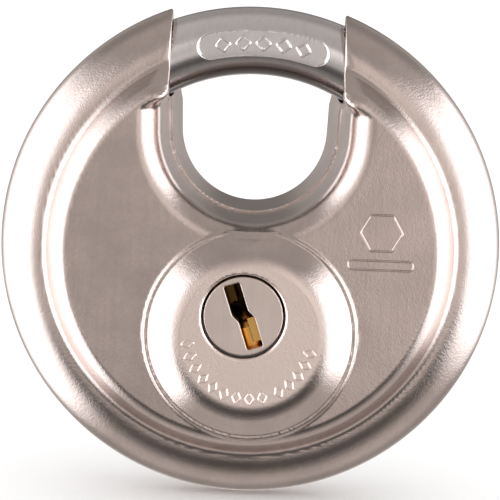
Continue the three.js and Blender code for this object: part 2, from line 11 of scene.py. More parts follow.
import bpy
import numpy as np
from mathutils import Matrix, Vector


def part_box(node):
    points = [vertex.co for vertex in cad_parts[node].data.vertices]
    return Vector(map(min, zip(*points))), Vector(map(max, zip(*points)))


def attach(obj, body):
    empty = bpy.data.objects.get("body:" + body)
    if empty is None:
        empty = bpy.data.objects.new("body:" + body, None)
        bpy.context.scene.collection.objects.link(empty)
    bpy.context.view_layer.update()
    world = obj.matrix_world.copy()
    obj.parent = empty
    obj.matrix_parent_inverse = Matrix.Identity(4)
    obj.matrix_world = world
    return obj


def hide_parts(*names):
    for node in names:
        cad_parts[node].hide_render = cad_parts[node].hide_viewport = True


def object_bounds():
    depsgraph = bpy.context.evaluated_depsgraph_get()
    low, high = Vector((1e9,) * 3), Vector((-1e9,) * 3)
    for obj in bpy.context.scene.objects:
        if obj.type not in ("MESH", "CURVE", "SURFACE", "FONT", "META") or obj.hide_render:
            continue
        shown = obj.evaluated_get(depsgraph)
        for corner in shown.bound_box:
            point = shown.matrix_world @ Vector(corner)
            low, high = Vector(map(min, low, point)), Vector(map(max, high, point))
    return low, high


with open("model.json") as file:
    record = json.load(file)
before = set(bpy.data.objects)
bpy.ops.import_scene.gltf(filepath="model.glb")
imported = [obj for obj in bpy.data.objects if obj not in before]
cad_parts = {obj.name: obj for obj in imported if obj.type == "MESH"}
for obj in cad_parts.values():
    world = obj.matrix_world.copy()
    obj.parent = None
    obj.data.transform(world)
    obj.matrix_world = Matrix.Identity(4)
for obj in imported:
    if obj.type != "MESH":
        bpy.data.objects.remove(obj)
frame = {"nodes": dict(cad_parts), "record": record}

CAD_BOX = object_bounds()
MM = 0.001

# ---- Places that come from the frame ---------------------------------------------------------

JOINTS = {joint["name"]: joint for joint in frame["record"]["behaviour"]["joints"]}
DISC_CENTRE = np.array(JOINTS["shackle_turn"]["pos_m"]) / MM
PLUG_AXIS = np.array(JOINTS["plug_turn"]["pos_m"]) / MM - DISC_CENTRE
PLUG_X, PLUG_Z = PLUG_AXIS[0], PLUG_AXIS[2]
STACK = np.array(JOINTS["key_pin_1_slide"]["axis"])
CYLINDER_LEAN = math.atan2(STACK[0], -STACK[2])


def node_box(node):
    """A node's lowest and highest corners in millimetres, in the disc's frame."""
    low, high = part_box(node)
    return np.array(low) / MM - DISC_CENTRE, np.array(high) / MM - DISC_CENTRE


CLEAR = 0.02                    # how far the new surfaces keep inside the CAD box
DISC_RADIUS = node_box("front_shell")[1][0] - CLEAR
BOSS_DEPTH = -node_box("front_shell")[0][1]
PLUG_FRONT, PLUG_BACK = node_box("plug")[0][1], node_box("plug")[1][1]
CARRIER_PIN = sum(node_box("carrier_pin")) / 2

# ---- Driving dimensions, mm ------------------------------------------------------------------

RIM_TUBE_RADIUS = 6.2
SHEET = 1.2
PLATE_DEPTH = 10
CREASE_RADIUS, CREASE_FILLET = 28.6, 0.45
WALL_SLOPE, WALL_ROUNDING = 59.5, 0.9         # raised wall between the rim and the flat
BOSS_OFFSET = 3                 # boss axis below the plug axis, along the pin stack
BOSS_FOOT_RADIUS = 14.3
BOSS_SLOPE, BOSS_ROUNDING = 38, 0.85
BOSS_SKIRT = 0.6                # how far the boss's cone reaches past its foot, inside the flat
BOSS_FILLET = 0.3
BEAD_OUT, BEAD_SINK, BEAD_RADIUS, BEAD_FILLET = 0.2, 0.25, 0.42, 0.12    # ridge around the foot
SHACKLE_RADIUS = 4.75 - CLEAR
SHACKLE_NOSE, SHACKLE_TAIL = -38, 155
CHANNEL_RADIUS = 5.05
DOMING = 2000                   # the flat falls away by radius squared over this
OPENING_CENTRE_Z = 16.4         # at the seam
OPENING_SEAM_RADIUS = 11.75
OPENING_TAPER = 0.185           # radius lost for each mm from front to rear
OPENING_DROP = 0.0875           # how far the centre drops for each mm from front to rear
OPENING_LEAN = math.radians(2)
OPENING_ROUNDING = 3.0
EAR_HALF_GAP = 12.05            # the ears' end planes, from the middle
EAR_EDGE_ROUNDING = 0.35
EAR_FOOT = {-1: (19.2, 22.2), 1: (21.8, 24.2)}   # heights where the funnel gives way to the ears
FACET_HALF_GAP, FACET_DEPTH, FACET_SLOPE = 15.2, 9.7, 38     # flat slanting down to each ear's end
FACET_TOP, FACET_DRIFT = 23.6, 1.4      # below this height the slant draws in towards the opening
FACET_ROUNDING = 1.8
PLUG_RADIUS = 5.5
PLUG_HOLE_GAP, PLUG_HOLE_ROUNDING = 0.35, 0.25
REAR_STEP = 0.22                # how much narrower the opening is in the rear shell, at the seam
SEAM_GAP = 0.02                 # half the gap between the shells

RIM_CENTRE_RADIUS = DISC_RADIUS - RIM_TUBE_RADIUS
BOSS_X = PLUG_X + BOSS_OFFSET * math.sin(CYLINDER_LEAN)
BOSS_Z = PLUG_Z - BOSS_OFFSET * math.cos(CYLINDER_LEAN)
MARK_HEIGHT = 0.1
BOSS_TOP = BOSS_DEPTH - MARK_HEIGHT     # the marks stand up to the full depth


# ---- Distances -------------------------------------------------------------------------------

def round_max(a, b, radius):
    """What is inside both a and b, the edge between them rounded."""
    corner = np.hypot(np.maximum(a + radius, 0), np.maximum(b + radius, 0))
    return np.minimum(-radius, np.maximum(a, b)) + corner


def round_min(a, b, radius):
    """What is inside a or b, the crease between them filled to a radius."""
    corner = np.hypot(np.maximum(radius - a, 0), np.maximum(radius - b, 0))
    return np.maximum(radius, np.minimum(a, b)) - corner


def inside_all(*distances):
    """What is inside every one of some shapes, edges left sharp."""
    return functools.reduce(np.maximum, distances)


def smooth_step(low, high, value):
    """0 up to low, 1 from high, and smooth between them."""
    t = np.clip((value - low) / (high - low), 0, 1)
    return t * t * (3 - 2 * t)


def slope(across, up, degrees):
    """Distance from a plane that rises inwards at an angle through across = 0, up = 0."""
    angle = math.radians(degrees)
    return across * math.sin(angle) + up * math.cos(angle)


def in_cylinder_frame(x, z):
    """Coordinates about the plug axis, with the pin stack straight down."""
    dx, dz = x - PLUG_X, z - PLUG_Z
    cos, sin = math.cos(CYLINDER_LEAN), math.sin(CYLINDER_LEAN)
    return dx * cos + dz * sin, dz * cos - dx * sin


def rectangle(across, up, half_width, half_height, corner):
    """Distance from a rectangle with rounded corners."""
    a = np.abs(across) - half_width + corner
    b = np.abs(up) - half_height + corner
    return np.hypot(np.maximum(a, 0), np.maximum(b, 0)) + np.minimum(np.maximum(a, b), 0) - corner


# ---- From distance to mesh -------------------------------------------------------------------

GRADIENT_STEP = 0.01
FLATTEST = 0.08                 # a direction with less than this share of the spread is left alone
CORNER_INSET = 0.12             # share of the way to a face's middle where its normals are taken
GRID_MARGIN = 0.4               # how far a grid reaches past its shape
ROOT_STEPS = 4                  # how often a crossing is narrowed down along its grid edge
SHORTEST_STEP = 0.02            # share of the edge that each of those steps takes off at least
TINY = 1e-12                    # keeps divisions away from zero


def gradient(distance, points):
    """Unit normals of a distance at points, by differences over a small tetrahedron."""
    total = np.zeros_like(points)
    for corner in ((1, -1, -1), (-1, -1, 1), (-1, 1, -1), (1, 1, 1)):
        offset = np.array(corner) * GRADIENT_STEP
        value = distance(*(points + offset).T)
        total += value[:, None] * np.array(corner)
    length = np.linalg.norm(total, axis=1, keepdims=True)
    return total / np.maximum(length, TINY)


def spans(*stretches):
    """Grid lines along one axis from (start, end, step) stretches that follow one another."""
    lines = []
    for start, end, step in stretches:
        count = max(1, round((end - start) / step))
        lines.append(np.linspace(start, end, count, endpoint=False))
    lines.append([stretches[-1][1]])
    return np.concatenate(lines)


def edge_crossings(distance, axes, values, axis):
    """The grid edges along one axis that cross the surface: index, point and direction."""
    low = [slice(None)] * 3
    high = [slice(None)] * 3
    low[axis], high[axis] = slice(None, -1), slice(1, None)
    inside = values < 0
    index = np.argwhere(inside[tuple(low)] != inside[tuple(high)])
    start = np.stack([axes[k][index[:, k]] for k in range(3)], axis=1)
    end = start.copy()
    end[:, axis] = axes[axis][index[:, axis] + 1]
    after = index.copy()
    after[:, axis] += 1
    start_value = values[tuple(index.T)]
    end_value = values[tuple(after.T)]
    leaving = start_value < 0
    for _ in range(ROOT_STEPS):
        share = start_value / (start_value - end_value)
        share = np.clip(share, SHORTEST_STEP, 1 - SHORTEST_STEP)[:, None]
        point = start + share * (end - start)
        value = distance(*point.T)
        same = (value < 0) == (start_value < 0)
        start = np.where(same[:, None], point, start)
        end = np.where(same[:, None], end, point)
        start_value = np.where(same, value, start_value)
        end_value = np.where(same, end_value, value)
    share = (start_value / (start_value - end_value))[:, None]
    return index, start + share * (end - start), leaving


def contour(distance, xs, ys, zs):
    """Vertices and quads of the surface where a distance is zero, with its sharp edges kept.

    Each cell that the surface crosses gets one vertex, at the point that best fits the tangent
    planes where the surface cuts the cell's edges.
    """
    axes = (xs, ys, zs)
    values = distance(*np.meshgrid(*axes, indexing="ij"))
    cells = np.array(values.shape) - 1
    owners, points, faces = [], [], []
    for axis in range(3):
        index, point, leaving = edge_crossings(distance, axes, values, axis)
        second, third = (axis + 1) % 3, (axis + 2) % 3
        ring = []
        for step_second, step_third in ((-1, -1), (0, -1), (0, 0), (-1, 0)):
            cell = index.copy()
            cell[:, second] += step_second
            cell[:, third] += step_third
            ring.append(np.ravel_multi_index(cell.T, cells))
        ring = np.stack(ring, axis=1)
        faces.append(np.where(leaving[:, None], ring, ring[:, ::-1]))
        owners.append(ring.T.ravel())
        points.append(np.tile(point, (4, 1)))
    owners, points, faces = map(np.concatenate, (owners, points, faces))
    used, owner = np.unique(owners, return_inverse=True)

    # Least squares in each cell, along the directions that its normals settle.
    normals = gradient(distance, points)
    count = np.bincount(owner)
    middle = np.stack([np.bincount(owner, points[:, k]) for k in range(3)], axis=1) / count[:, None]
    height = np.einsum("ij,ij->i", normals, points - middle[owner])
    pull = np.stack([np.bincount(owner, normals[:, k] * height) for k in range(3)], axis=1)
    spread = np.empty((len(used), 3, 3))
    for a in range(3):
        for b in range(3):
            spread[:, a, b] = np.bincount(owner, normals[:, a] * normals[:, b])
    weights, directions = np.linalg.eigh(spread)
    keep = weights > FLATTEST * weights[:, 2:]
    inverse = np.where(keep, 1 / np.maximum(weights, TINY), 0)
    local = np.einsum("nji,nj->ni", directions, pull) * inverse
    vertices = middle + np.einsum("nij,nj->ni", directions, local)
    cell = np.stack(np.unravel_index(used, cells), axis=1)
    floor = np.stack([axes[k][cell[:, k]] for k in range(3)], axis=1)
    ceiling = np.stack([axes[k][cell[:, k] + 1] for k in range(3)], axis=1)
    return np.clip(vertices, floor, ceiling), np.searchsorted(used, faces)


def add_contour(name, distance, xs, ys, zs):
    """A piece whose surface is where a distance is zero, shaded by the distance's own normals."""
    vertices, faces = contour(distance, xs, ys, zs)
    mesh = bpy.data.meshes.new(name)
    mesh.from_pydata((vertices + DISC_CENTRE) * MM, [], faces)
    mesh.shade_smooth()
    corners = vertices[faces]
    centres = corners.mean(axis=1, keepdims=True)
    inset = (corners + CORNER_INSET * (centres - corners)).reshape(-1, 3)
    mesh.normals_split_custom_set(gradient(distance, inset))
    piece = bpy.data.objects.new(name, mesh)
    bpy.context.scene.collection.objects.link(piece)
    return piece


# ---- Shells ----------------------------------------------------------------------------------

def disc_outside(x, depth, z):
    """The pressed disc before the opening is cut: rolled rim, raised wall, flat and boss."""
    rho = np.hypot(x, z)
    rim = np.hypot(rho - RIM_CENTRE_RADIUS, depth) - RIM_TUBE_RADIUS
    wall = slope(rho - CREASE_RADIUS, depth - RIM_TUBE_RADIUS, WALL_SLOPE)
    raised = round_max(wall, depth - PLATE_DEPTH + rho**2 / DOMING, WALL_ROUNDING)
    body = round_min(rim, raised, CREASE_FILLET)
    across = np.hypot(x - BOSS_X, z - BOSS_Z)
    side = slope(across - BOSS_FOOT_RADIUS, depth - PLATE_DEPTH, BOSS_SLOPE)
    boss = round_max(side, depth - BOSS_TOP, BOSS_ROUNDING)
    boss = np.maximum(boss, across - BOSS_FOOT_RADIUS - BOSS_SKIRT)
    bead = np.hypot(across - BOSS_FOOT_RADIUS - BEAD_OUT, depth - PLATE_DEPTH + BEAD_SINK)
    bead = bead - BEAD_RADIUS
    return round_min(round_min(body, boss, BOSS_FILLET), bead, BEAD_FILLET)


def opening_distance(x, y, z, straight, step_in):
    """The space of the shackle opening: one funnel through both shells, straight at the ears."""
    centre = OPENING_CENTRE_Z - OPENING_DROP * y
    radius = OPENING_SEAM_RADIUS - OPENING_TAPER * y - step_in
    cos, sin = math.cos(OPENING_LEAN), math.sin(OPENING_LEAN)
    outwards = np.abs(x) * cos - (z - centre) * sin
    upwards = np.abs(x) * sin + (z - centre) * cos
    funnel = np.where(upwards > 0, outwards, np.hypot(outwards, upwards)) - radius
    return funnel + straight * (np.abs(x) - EAR_HALF_GAP - funnel)


def shell_distance(side, step_in):
    """One pressed shell, as a distance; side is -1 for the front and 1 for the rear."""
    def distance(x, y, z):
        depth = side * y
        rho = np.hypot(x, z)
        straight = smooth_step(*EAR_FOOT[side], z)
        below_ears = 1 - straight
        edge = EAR_EDGE_ROUNDING + (OPENING_ROUNDING - EAR_EDGE_ROUNDING) * below_ears
        drawn_in = FACET_DRIFT * np.logaddexp(0, FACET_TOP - z)
        facet = slope(FACET_HALF_GAP - drawn_in - np.abs(x), depth - FACET_DEPTH, FACET_SLOPE)
        opening = opening_distance(x, y, z, straight, step_in)
        skin = round_max(disc_outside(x, depth, z), facet, FACET_ROUNDING)
        skin = round_max(skin, -opening, edge)
        channel = np.hypot(rho - RIM_CENTRE_RADIUS, depth) - CHANNEL_RADIUS
        sheet = np.maximum(np.maximum(skin, -skin - SHEET), -channel)
        if side < 0:
            aperture = PLUG_RADIUS + PLUG_HOLE_GAP - np.hypot(x - PLUG_X, z - PLUG_Z)
            sheet = round_max(sheet, aperture, PLUG_HOLE_ROUNDING)
        return np.maximum(sheet, SEAM_GAP - depth)
    return distance


def build_shells():
    """Both shells, on a grid that is finer over the boss and the opening, and outside the flat."""
    reach = DISC_RADIUS + 0.6
    left, right, low, high = -15, 15.6, -26.6, 4      # where the grid is finest
    ears, top = 24, 34
    coarse, opening, ear, fine = 0.52, 0.38, 0.48, 0.28
    xs = spans((-reach, left, coarse), (left, right, fine), (right, reach, coarse))
    zs = spans((-reach, low, coarse), (low, high, fine), (high, ears, opening), (ears, top, ear))
    under_flat = PLATE_DEPTH - 0.7
    depths = spans((-0.3, under_flat, 0.45), (under_flat, BOSS_DEPTH + GRID_MARGIN, 0.24))
    front = add_contour("front_case", shell_distance(-1, 0), xs, -depths[::-1], zs)
    finish_piece(front, "case", "front_shell", "stainless_shell")
    rear = add_contour("rear_case", shell_distance(1, REAR_STEP), xs, depths, zs)
    finish_piece(rear, "case", "rear_shell", "stainless_shell")


# ---- Raised marks ----------------------------------------------------------------------------

def add_tubes(name, loops, radius):
    """Round ridges that follow closed lines, each line an array of points."""
    sides = 8
    turn = np.arange(sides) * 2 * math.pi / sides
    vertices, faces = [], []
    for loop in loops:
        along = np.roll(loop, -1, axis=0) - np.roll(loop, 1, axis=0)
        along /= np.linalg.norm(along, axis=1, keepdims=True)
        side = np.cross(along, (0, 1, 0))
        side /= np.linalg.norm(side, axis=1, keepdims=True)
        lift = np.cross(side, along)
        ring = side[:, None] * np.cos(turn)[:, None] + lift[:, None] * np.sin(turn)[:, None]
        start = len(vertices)
        vertices.extend((loop[:, None] + radius * ring).reshape(-1, 3))
        for i in range(len(loop)):
            for k in range(sides):
                here, there = start + i * sides, start + (i + 1) % len(loop) * sides
                after = (k + 1) % sides
                faces.append((here + k, there + k, there + after, here + after))
    mesh = bpy.data.meshes.new(name)
    mesh.from_pydata((np.array(vertices) + DISC_CENTRE) * MM, [], faces)
    mesh.shade_smooth()
    piece = bpy.data.objects.new(name, mesh)
    bpy.context.scene.collection.objects.link(piece)
    return piece


def lozenge(width, height):
    """A diamond's outline, as (across, up) points around its centre."""
    return np.array([(width / 2, 0), (0, height / 2), (-width / 2, 0), (0, -height / 2)])


def rounded_outline(width, height, corner):
    """A rectangle's outline with rounded corners, as (across, up) points around its centre."""
    points = []
    for quarter, (a, b) in enumerate(((1, 1), (-1, 1), (-1, -1), (1, -1))):
        for step in range(5):
            angle = (quarter + step / 4) * math.pi / 2
            points.append((a * (width / 2 - corner) + corner * math.cos(angle),
                           b * (height / 2 - corner) + corner * math.sin(angle)))
    return np.array(points)


def bent_around(outline, centre_x, centre_z, radius, degrees, y):
    """An outline set on a circle, its height along the radius at a polar angle."""
    angle = math.radians(degrees) + outline[:, 0] / radius
    out = radius + outline[:, 1]
    x, z = centre_x + out * np.sin(angle), centre_z + out * np.cos(angle)
    return np.stack([x, np.full(len(out), y), z], axis=1)


def finer(loop, step):
    """A closed line with points added so that none are further apart than a step."""
    points = []
    for start, end in zip(loop, np.roll(loop, -1, axis=0)):
        count = max(1, math.ceil(np.linalg.norm(end - start) / step))
        points.extend(start + (end - start) * k / count for k in range(count))
    return np.array(points)


BOSS_MARK_LINE, PLATE_MARK_LINE, SHACKLE_MARK_LINE = 0.13, 0.16, 0.19    # radius of each ridge
BOSS_MARK_ORBIT = 8.6
BOSS_MARK_ROWS = ((262, 166, 9), (150, 103, 5))      # first and last polar angle, count
HEXAGON_X, HEXAGON_Z, HEXAGON_RADIUS = 18.1, 3.6, 2.9
BAR_Z = -0.9                                         # the bar under the hexagon
BAR_WIDTH, BAR_HEIGHT, BAR_CORNER = 9, 1.3, 0.6
BOSS_DIAMOND, SHACKLE_DIAMOND = (1.2, 1.75), (2.0, 2.0)
LINE_STEP, DIAMOND_STEP = 0.4, 0.3                   # spacing of points along the ridges
MARK_LIFT = {"plate": 0.02, "shackle": 0.03}         # ridge centres stand this far off the surface
SHACKLE_MARK_COUNT, SHACKLE_MARK_PITCH = 5, 5.6      # pitch in degrees


def build_marks():
    """Plain raised diamonds on the boss and the shackle, and a plain hexagon over a bar."""
    y = -(BOSS_DEPTH - BOSS_MARK_LINE)
    diamond = finer(lozenge(*BOSS_DIAMOND), DIAMOND_STEP)
    boss_marks = []
    for first, last, count in BOSS_MARK_ROWS:
        for k in range(count):
            degrees = first + (last - first) * k / (count - 1)
            boss_marks.append(bent_around(diamond, BOSS_X, BOSS_Z, BOSS_MARK_ORBIT, degrees, y))
    add_marks("boss_marks", boss_marks, BOSS_MARK_LINE, "case", "stainless_shell")

    plate_y = -(PLATE_DEPTH - HEXAGON_X**2 / DOMING + MARK_LIFT["plate"])
    turn = np.radians(60 * np.arange(6))
    corners = HEXAGON_RADIUS * np.stack([np.cos(turn), np.sin(turn)], axis=1)
    hexagon = finer(on_the_flat(corners, HEXAGON_Z, plate_y), LINE_STEP)
    bar = finer(rounded_outline(BAR_WIDTH, BAR_HEIGHT, BAR_CORNER), LINE_STEP)
    under = on_the_flat(bar, BAR_Z, plate_y)
    add_marks("plate_marks", [hexagon, under], PLATE_MARK_LINE, "case", "stainless_shell")

    shackle_marks = []
    outline = finer(lozenge(*SHACKLE_DIAMOND), DIAMOND_STEP)
    floor = -(SHACKLE_RADIUS - RECESS_DEPTH + MARK_LIFT["shackle"])
    for k in range(SHACKLE_MARK_COUNT):
        degrees = RECESS_ANGLE + (k - (SHACKLE_MARK_COUNT - 1) / 2) * SHACKLE_MARK_PITCH
        shackle_marks.append(bent_around(outline, 0, 0, RIM_CENTRE_RADIUS, degrees, floor))
    add_marks("shackle_marks", shackle_marks, SHACKLE_MARK_LINE, "shackle_set", "hardened_steel")


def on_the_flat(outline, middle_z, y):
    """An outline set around (HEXAGON_X, middle_z), all at one y."""
    across, up = outline.T
    return np.stack([HEXAGON_X + across, np.full(len(outline), y), middle_z + up], axis=1)


def add_marks(name, loops, radius, body, slot):
    marks = add_tubes(name, loops, radius)
    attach(marks, body)
    marks.data.materials.append(SLOT_FINISHES[slot]())


# ---- Shackle ---------------------------------------------------------------------------------

RECESS_LENGTH, RECESS_WIDTH, RECESS_DEPTH = 17.9, 3.5, 0.45
RECESS_ANGLE = 1.5
RECESS_LEAN = 0.7               # how far its wall opens out for each mm of depth
RECESS_EDGE_ROUNDING = 0.03
BAR_END_ROUNDING = 0.8
LUG_SLOT_HALF_LENGTH, LUG_SLOT_HALF_WIDTH, LUG_SLOT_RADIUS = 2.3, 1.9, 27.8
CARRIER_HOLE_RADIUS = 1.25


def shackle_distance(x, y, z):
    """The curved bar, with its stamped recess and the slot and hole for the carrier."""
    rho = np.hypot(x, z)
    angle = np.arctan2(x, z)
    middle = math.radians((SHACKLE_NOSE + SHACKLE_TAIL) / 2)
    half = math.radians((SHACKLE_TAIL - SHACKLE_NOSE) / 2) * RIM_CENTRE_RADIUS
    from_middle = (angle - middle + math.pi) % (2 * math.pi) - math.pi
    bar = np.hypot(rho - RIM_CENTRE_RADIUS, y) - SHACKLE_RADIUS
    bar = round_max(bar, np.abs(from_middle) * RIM_CENTRE_RADIUS - half, BAR_END_ROUNDING)

    along = (angle - math.radians(RECESS_ANGLE)) * RIM_CENTRE_RADIUS
    off = rho - RIM_CENTRE_RADIUS
    straight = (RECESS_LENGTH - RECESS_WIDTH) / 2
    pill = np.hypot(np.maximum(np.abs(along) - straight, 0), off) - RECESS_WIDTH / 2
    floor = SHACKLE_RADIUS - RECESS_DEPTH
    wall = (pill + RECESS_LEAN * (y + floor)) / math.hypot(1, RECESS_LEAN)
    bar = round_max(bar, -np.maximum(wall, y + floor), RECESS_EDGE_ROUNDING)

    orbit = math.hypot(CARRIER_PIN[0], CARRIER_PIN[2])
    from_carrier = np.abs(angle - math.atan2(CARRIER_PIN[0], CARRIER_PIN[2])) * orbit
    in_length = np.maximum(from_carrier - LUG_SLOT_HALF_LENGTH, rho - LUG_SLOT_RADIUS)
    pin_hole = np.hypot(x - CARRIER_PIN[0], z - CARRIER_PIN[2]) - CARRIER_HOLE_RADIUS
    lug_slot = np.maximum(in_length, np.abs(y) - LUG_SLOT_HALF_WIDTH)
    return np.maximum(bar, -np.minimum(lug_slot, pin_hole))


def build_shackle():
    """The bar, on a grid that is finer around the recess."""
    low, high = node_box("shackle")
    low, high = low - GRID_MARGIN, high + GRID_MARGIN
    left, right, front, bottom, top = -10, 10.8, -4, 25.5, 31.2
    coarse, fine = 0.35, 0.14
    xs = spans((low[0], left, coarse), (left, right, fine), (right, high[0], coarse))
    ys = spans((low[1], front, 0.1), (front, high[1], coarse))
    zs = spans((low[2], bottom, coarse), (bottom, top, fine), (top, high[2], 0.25))
    bar = add_contour("shackle_bar", shackle_distance, xs, ys, zs)
    finish_piece(bar, "shackle_set", "shackle", "hardened_steel")


# ---- Plug ------------------------------------------------------------------------------------

PIN_PITCH, FIRST_PIN_Y, PIN_RADIUS, CHAMBER_RADIUS = 2.9, -8.9, 1.3, 1.45
KEY_PIN_TIPS = (0.9, -0.2, 0.5, 1.4)     # tip distance down from the plug axis: the key code
PLUG_BARREL_BACK, KEYWAY_BACK = 4.65, 1.5
PLUG_EDGE_ROUNDING = 0.16
CLIP_GROOVE_FRONT, CLIP_GROOVE_BACK, CLIP_GROOVE_RADIUS = 3.7, 4.35, 4.7
TAIL_RADIUS, TAIL_HALF_FLATS, TAIL_FRONT = 3, 2.2, 4
SLOT_HALF_WIDTH, SLOT_HALF_HEIGHT, SLOT_CORNER = 1.15, 4.7, 0.25
SLOT_JOG, SLOT_JOG_REACH = 0.3, 0.8     # the slot steps sideways by this, over this height
FACE_THICKNESS, FACE_EDGE_ROUNDING = 0.7, 0.1
RIGHT_WARD_LEFT, RIGHT_WARD_UP, RIGHT_WARD_HALF_HEIGHT, RIGHT_WARD_SET_BACK = 0.3, -2.3, 1.7, 1.3
LEFT_WARD_RIGHT, LEFT_WARD_LOW, LEFT_WARD_SET_BACK = -0.35, 1.2, 7
CHAMBER_ABOVE_TIP = 1.2
NICKEL_DEPTH = 0.3
SCREW_HOLE_RADIUS, SCREW_HOLE_FRONT = 1.05, KEYWAY_BACK + 0.6


def plug_distance(x, y, z):
    """The plug: a plated face with a stepped slot, and behind it the warded keyway."""
    across, up = in_cylinder_frame(x, z)
    radius = np.hypot(across, up)
    middle, half = (PLUG_FRONT + PLUG_BARREL_BACK) / 2, (PLUG_BARREL_BACK - PLUG_FRONT) / 2
    body = round_max(radius - PLUG_RADIUS, np.abs(y - middle) - half, PLUG_EDGE_ROUNDING)
    groove = inside_all(CLIP_GROOVE_FRONT - y, y - CLIP_GROOVE_BACK, CLIP_GROOVE_RADIUS - radius)
    body = np.maximum(body, -groove)
    tail = inside_all(radius - TAIL_RADIUS, np.abs(across) - TAIL_HALF_FLATS,
                      y - PLUG_BACK, TAIL_FRONT - y)
    body = np.minimum(body, tail)
    jog = SLOT_JOG * (1 - 2 * smooth_step(-SLOT_JOG_REACH, SLOT_JOG_REACH, up))
    slot = rectangle(across - jog, up, SLOT_HALF_WIDTH, SLOT_HALF_HEIGHT, SLOT_CORNER)
    in_face = np.maximum(slot, y - PLUG_FRONT - FACE_THICKNESS)
    body = round_max(body, -in_face, FACE_EDGE_ROUNDING)
    right_ward = inside_all(RIGHT_WARD_LEFT - across,
                            np.abs(up - RIGHT_WARD_UP) - RIGHT_WARD_HALF_HEIGHT,
                            PLUG_FRONT + RIGHT_WARD_SET_BACK - y)
    left_ward = inside_all(across - LEFT_WARD_RIGHT, LEFT_WARD_LOW - up,
                           PLUG_FRONT + LEFT_WARD_SET_BACK - y)
    keyway = np.maximum(np.maximum(slot, y - KEYWAY_BACK), -np.minimum(right_ward, left_ward))
    body = np.maximum(body, -keyway)
    for index, tip in enumerate(KEY_PIN_TIPS):
        bore = np.hypot(across, y - FIRST_PIN_Y - index * PIN_PITCH) - CHAMBER_RADIUS
        body = np.maximum(body, -np.maximum(bore, up + tip - CHAMBER_ABOVE_TIP))
    return np.maximum(body, -np.maximum(radius - SCREW_HOLE_RADIUS, SCREW_HOLE_FRONT - y))


def build_plug():
    """The plug, its face in nickel and everything behind the face in brass."""
    reach = PLUG_RADIUS + 0.3
    fine = 0.13
    behind_face = PLUG_FRONT + 1.1
    xs = spans((PLUG_X - reach, PLUG_X + reach, fine))
    zs = spans((PLUG_Z - reach, PLUG_Z + reach, fine))
    ys = spans((PLUG_FRONT - 0.2, behind_face, 0.08), (behind_face, PLUG_BACK + 0.3, 0.35))
    plug = add_contour("plug_body", plug_distance, xs, ys, zs)
    finish_piece(plug, "plug_set", "plug", "nickel_plug")
    plug.data.materials.append(keyway_finish())
    depth_of_face = (PLUG_FRONT + NICKEL_DEPTH + DISC_CENTRE[1]) * MM
    for polygon in plug.data.polygons:
        if polygon.center.y > depth_of_face:
            polygon.material_index = 1


# ---- Key pins --------------------------------------------------------------------------------

# Radius and depth below the tip.
PIN_NOSE = ((PIN_RADIUS, 1.0), (0.8, 0.35), (0.55, 0.1), (0.25, 0.02))
PIN_SIDES = 32
PIN_CHAMFER, PIN_CHAMFER_HEIGHT = 0.2, 0.15
PIN_FOOT = PLUG_RADIUS - 0.2            # below the plug axis
SHARPEST_SMOOTH = math.radians(35)


def build_key_pins():
    """Brass pins, each with a rounded cone for a nose and a chamfered foot."""
    sides = PIN_SIDES
    for index, tip in enumerate(KEY_PIN_TIPS):
        profile = [(PIN_RADIUS - PIN_CHAMFER, -PIN_FOOT),
                   (PIN_RADIUS, -PIN_FOOT + PIN_CHAMFER_HEIGHT)]
        profile += [(radius, -tip - below) for radius, below in PIN_NOSE]
        rings = [(radius, up, 2 * math.pi * k / sides)
                 for radius, up in profile for k in range(sides)]
        points, faces = [], []
        for radius, up, angle in rings + [(0, -PIN_FOOT, 0), (0, -tip, 0)]:
            across, y = radius * math.cos(angle), radius * math.sin(angle)
            cos, sin = math.cos(CYLINDER_LEAN), math.sin(CYLINDER_LEAN)
            points.append((PLUG_X + across * cos - up * sin, FIRST_PIN_Y + index * PIN_PITCH + y,
                           PLUG_Z + across * sin + up * cos))
        last = len(profile) - 1
        for k in range(sides):
            after = (k + 1) % sides
            for low in range(0, last * sides, sides):
                faces.append((low + k, low + after, low + sides + after, low + sides + k))
            faces.append((after, k, len(rings)))
            faces.append((last * sides + k, last * sides + after, len(rings) + 1))
        name = f"key_pin_{index + 1}"
        mesh = bpy.data.meshes.new(name + "_turned")
        mesh.from_pydata((np.array(points) + DISC_CENTRE) * MM, [], faces)
        mesh.shade_smooth()
        mesh.set_sharp_from_angle(angle=SHARPEST_SMOOTH)
        pin = bpy.data.objects.new(name + "_turned", mesh)
        bpy.context.scene.collection.objects.link(pin)
        finish_piece(pin, name, name, "brass")


# ---- Finishes --------------------------------------------------------------------------------

